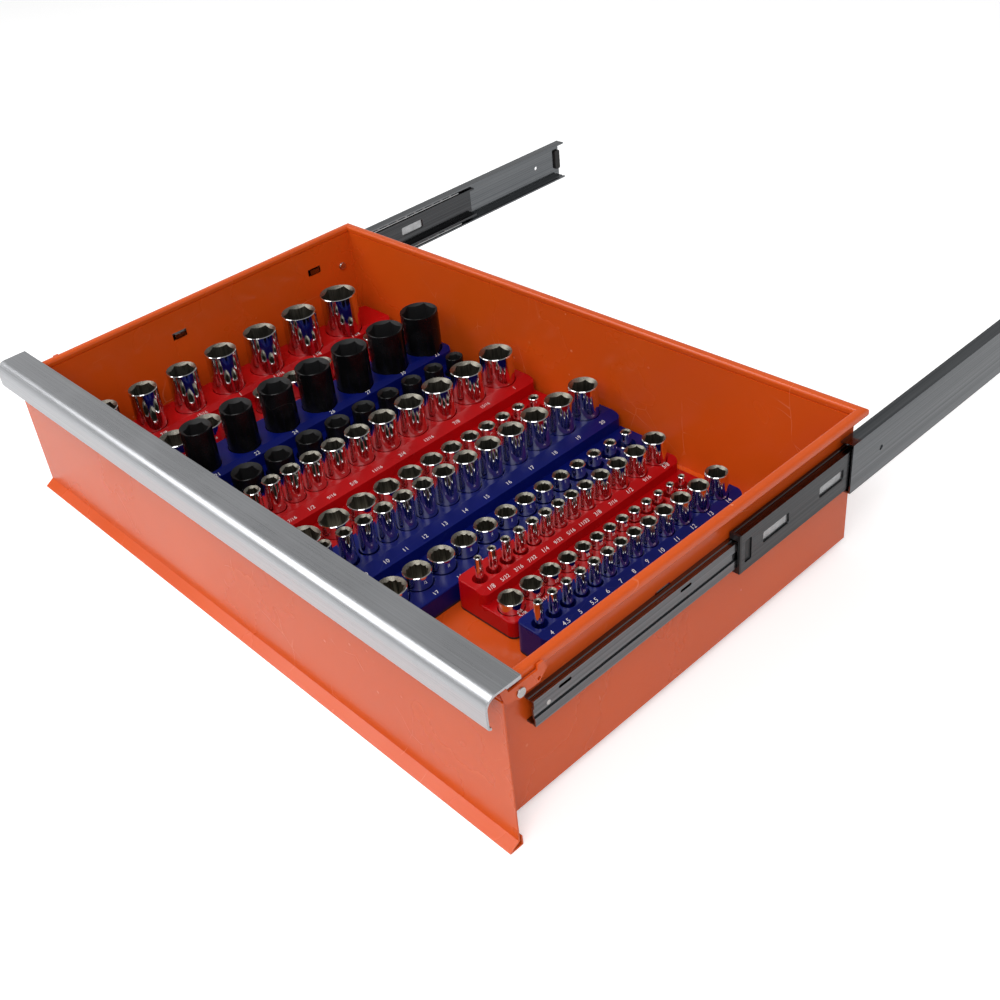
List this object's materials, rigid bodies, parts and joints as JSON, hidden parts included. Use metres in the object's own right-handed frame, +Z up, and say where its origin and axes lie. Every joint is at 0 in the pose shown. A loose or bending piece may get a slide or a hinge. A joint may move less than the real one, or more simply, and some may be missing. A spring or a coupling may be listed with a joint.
{
  "type": "socket organizer drawer",
  "caption": "Shallow steel tool drawer open on telescopic ball slides, with a full-width pull latch and lift-out magnetic trays of deep and shallow sockets.",
  "frame": {"origin": "centre of the underside of the drawer tub", "axes": "+X to the right seen from the front, +Y towards the back of the cabinet (the way the drawer closes), +Z up"},
  "size_m": [0.672, 0.7665, 0.1463],
  "materials": {
    "orange_paint": "gloss powder coat",
    "handle_aluminium": "brushed along its length",
    "screw_steel": "bright zinc",
    "latch_paint": "gloss powder coat",
    "latch_steel": "bright zinc",
    "spring_steel": "drawn wire",
    "zinc_rail": "bright zinc",
    "dark_rail": "dark zinc",
    "cage_steel": "zinc",
    "ball_steel": "polished",
    "black_plastic": "matte",
    "black_rubber": "matte",
    "magnetic_sheet": "matte",
    "red_tray": "satin",
    "blue_tray": "satin",
    "socket_chrome": "polished",
    "impact_black": "black phosphate"
  },
  "bodies": {
    "cabinet_rails": {"left_cabinet_rail": "zinc_rail", "left_rear_buffer": "black_rubber", "right_cabinet_rail": "zinc_rail", "right_rear_buffer": "black_rubber"},
    "drawer": {"drawer_tub": "orange_paint", "front_panel": "orange_paint", "front_channel": "orange_paint", "handle_extrusion": "handle_aluminium", "handle_screws": "screw_steel", "drawer_rail_screws": "screw_steel", "left_latch_pivot": "screw_steel", "left_latch_spring": "spring_steel", "left_drawer_rail": "zinc_rail", "right_latch_pivot": "screw_steel", "right_latch_spring": "spring_steel", "right_drawer_rail": "zinc_rail"},
    "latch": {"latch_pull_bar": "latch_steel", "left_latch_hook": "latch_paint", "right_latch_hook": "latch_paint"},
    "left_middle": {"left_middle_rail": "dark_rail", "left_middle_cap": "black_plastic"},
    "left_inner_cage_set": {"left_inner_cage": "cage_steel", "left_inner_balls": "ball_steel"},
    "left_outer_cage_set": {"left_outer_cage": "cage_steel", "left_outer_balls": "ball_steel"},
    "right_middle": {"right_middle_rail": "dark_rail", "right_middle_cap": "black_plastic"},
    "right_inner_cage_set": {"right_inner_cage": "cage_steel", "right_inner_balls": "ball_steel"},
    "right_outer_cage_set": {"right_outer_cage": "cage_steel", "right_outer_balls": "ball_steel"},
    "half_inch_fractional_set": {"half_inch_fractional_base": "magnetic_sheet", "half_inch_fractional_tray": "red_tray", "half_inch_fractional_deep_sockets": "socket_chrome", "half_inch_fractional_shallow_sockets": "socket_chrome"},
    "half_inch_metric_set": {"half_inch_metric_base": "magnetic_sheet", "half_inch_metric_tray": "blue_tray", "half_inch_metric_deep_sockets": "impact_black", "half_inch_metric_shallow_sockets": "impact_black"},
    "three_eighth_fractional_set": {"three_eighth_fractional_base": "magnetic_sheet", "three_eighth_fractional_tray": "red_tray", "three_eighth_fractional_deep_sockets": "socket_chrome", "three_eighth_fractional_shallow_sockets": "socket_chrome"},
    "three_eighth_metric_set": {"three_eighth_metric_base": "magnetic_sheet", "three_eighth_metric_tray": "blue_tray", "three_eighth_metric_deep_sockets": "socket_chrome", "three_eighth_metric_shallow_sockets": "socket_chrome"},
    "quarter_inch_fractional_set": {"quarter_inch_fractional_base": "magnetic_sheet", "quarter_inch_fractional_tray": "red_tray", "quarter_inch_fractional_deep_sockets": "socket_chrome", "quarter_inch_fractional_shallow_sockets": "socket_chrome"},
    "quarter_inch_metric_set": {"quarter_inch_metric_base": "magnetic_sheet", "quarter_inch_metric_tray": "blue_tray", "quarter_inch_metric_deep_sockets": "socket_chrome", "quarter_inch_metric_shallow_sockets": "socket_chrome"}
  },
  "joints": [
    {"name": "drawer_slide", "type": "slide", "parent": "cabinet_rails", "child": "drawer", "axis": [0, 1, 0], "range_m": [0, 0.37]},
    {"name": "left_middle_slide", "type": "slide", "parent": "cabinet_rails", "child": "left_middle", "axis": [0, 1, 0], "range_m": [0, 0.148]},
    {"name": "left_inner_cage_roll", "type": "slide", "parent": "cabinet_rails", "child": "left_inner_cage_set", "axis": [0, 1, 0], "range_m": [0, 0.259]},
    {"name": "left_outer_cage_roll", "type": "slide", "parent": "cabinet_rails", "child": "left_outer_cage_set", "axis": [0, 1, 0], "range_m": [0, 0.074]},
    {"name": "right_middle_slide", "type": "slide", "parent": "cabinet_rails", "child": "right_middle", "axis": [0, 1, 0], "range_m": [0, 0.148]},
    {"name": "right_inner_cage_roll", "type": "slide", "parent": "cabinet_rails", "child": "right_inner_cage_set", "axis": [0, 1, 0], "range_m": [0, 0.259]},
    {"name": "right_outer_cage_roll", "type": "slide", "parent": "cabinet_rails", "child": "right_outer_cage_set", "axis": [0, 1, 0], "range_m": [0, 0.074]},
    {"name": "latch_pull", "type": "hinge", "parent": "drawer", "child": "latch", "pos_m": [0, -0.1792, 0.1135], "axis": [1, 0, 0], "range_deg": [-7, 0], "stiffness_Nm_per_rad": 2, "springref_deg": 4.58},
    {"name": "half_inch_fractional_lift", "type": "slide", "parent": "drawer", "child": "half_inch_fractional_set", "axis": [0, 0, 1], "range_m": [0, 0.15]},
    {"name": "half_inch_metric_lift", "type": "slide", "parent": "drawer", "child": "half_inch_metric_set", "axis": [0, 0, 1], "range_m": [0, 0.15]},
    {"name": "three_eighth_fractional_lift", "type": "slide", "parent": "drawer", "child": "three_eighth_fractional_set", "axis": [0, 0, 1], "range_m": [0, 0.15]},
    {"name": "three_eighth_metric_lift", "type": "slide", "parent": "drawer", "child": "three_eighth_metric_set", "axis": [0, 0, 1], "range_m": [0, 0.15]},
    {"name": "quarter_inch_fractional_lift", "type": "slide", "parent": "drawer", "child": "quarter_inch_fractional_set", "axis": [0, 0, 1], "range_m": [0, 0.15]},
    {"name": "quarter_inch_metric_lift", "type": "slide", "parent": "drawer", "child": "quarter_inch_metric_set", "axis": [0, 0, 1], "range_m": [0, 0.15]}
  ],
  "couplings": [
    {"joint": "left_middle_slide", "follows": "drawer_slide", "ratio": 0.4},
    {"joint": "left_inner_cage_roll", "follows": "drawer_slide", "ratio": 0.7},
    {"joint": "left_outer_cage_roll", "follows": "drawer_slide", "ratio": 0.2},
    {"joint": "right_middle_slide", "follows": "drawer_slide", "ratio": 0.4},
    {"joint": "right_inner_cage_roll", "follows": "drawer_slide", "ratio": 0.7},
    {"joint": "right_outer_cage_roll", "follows": "drawer_slide", "ratio": 0.2}
  ]
}
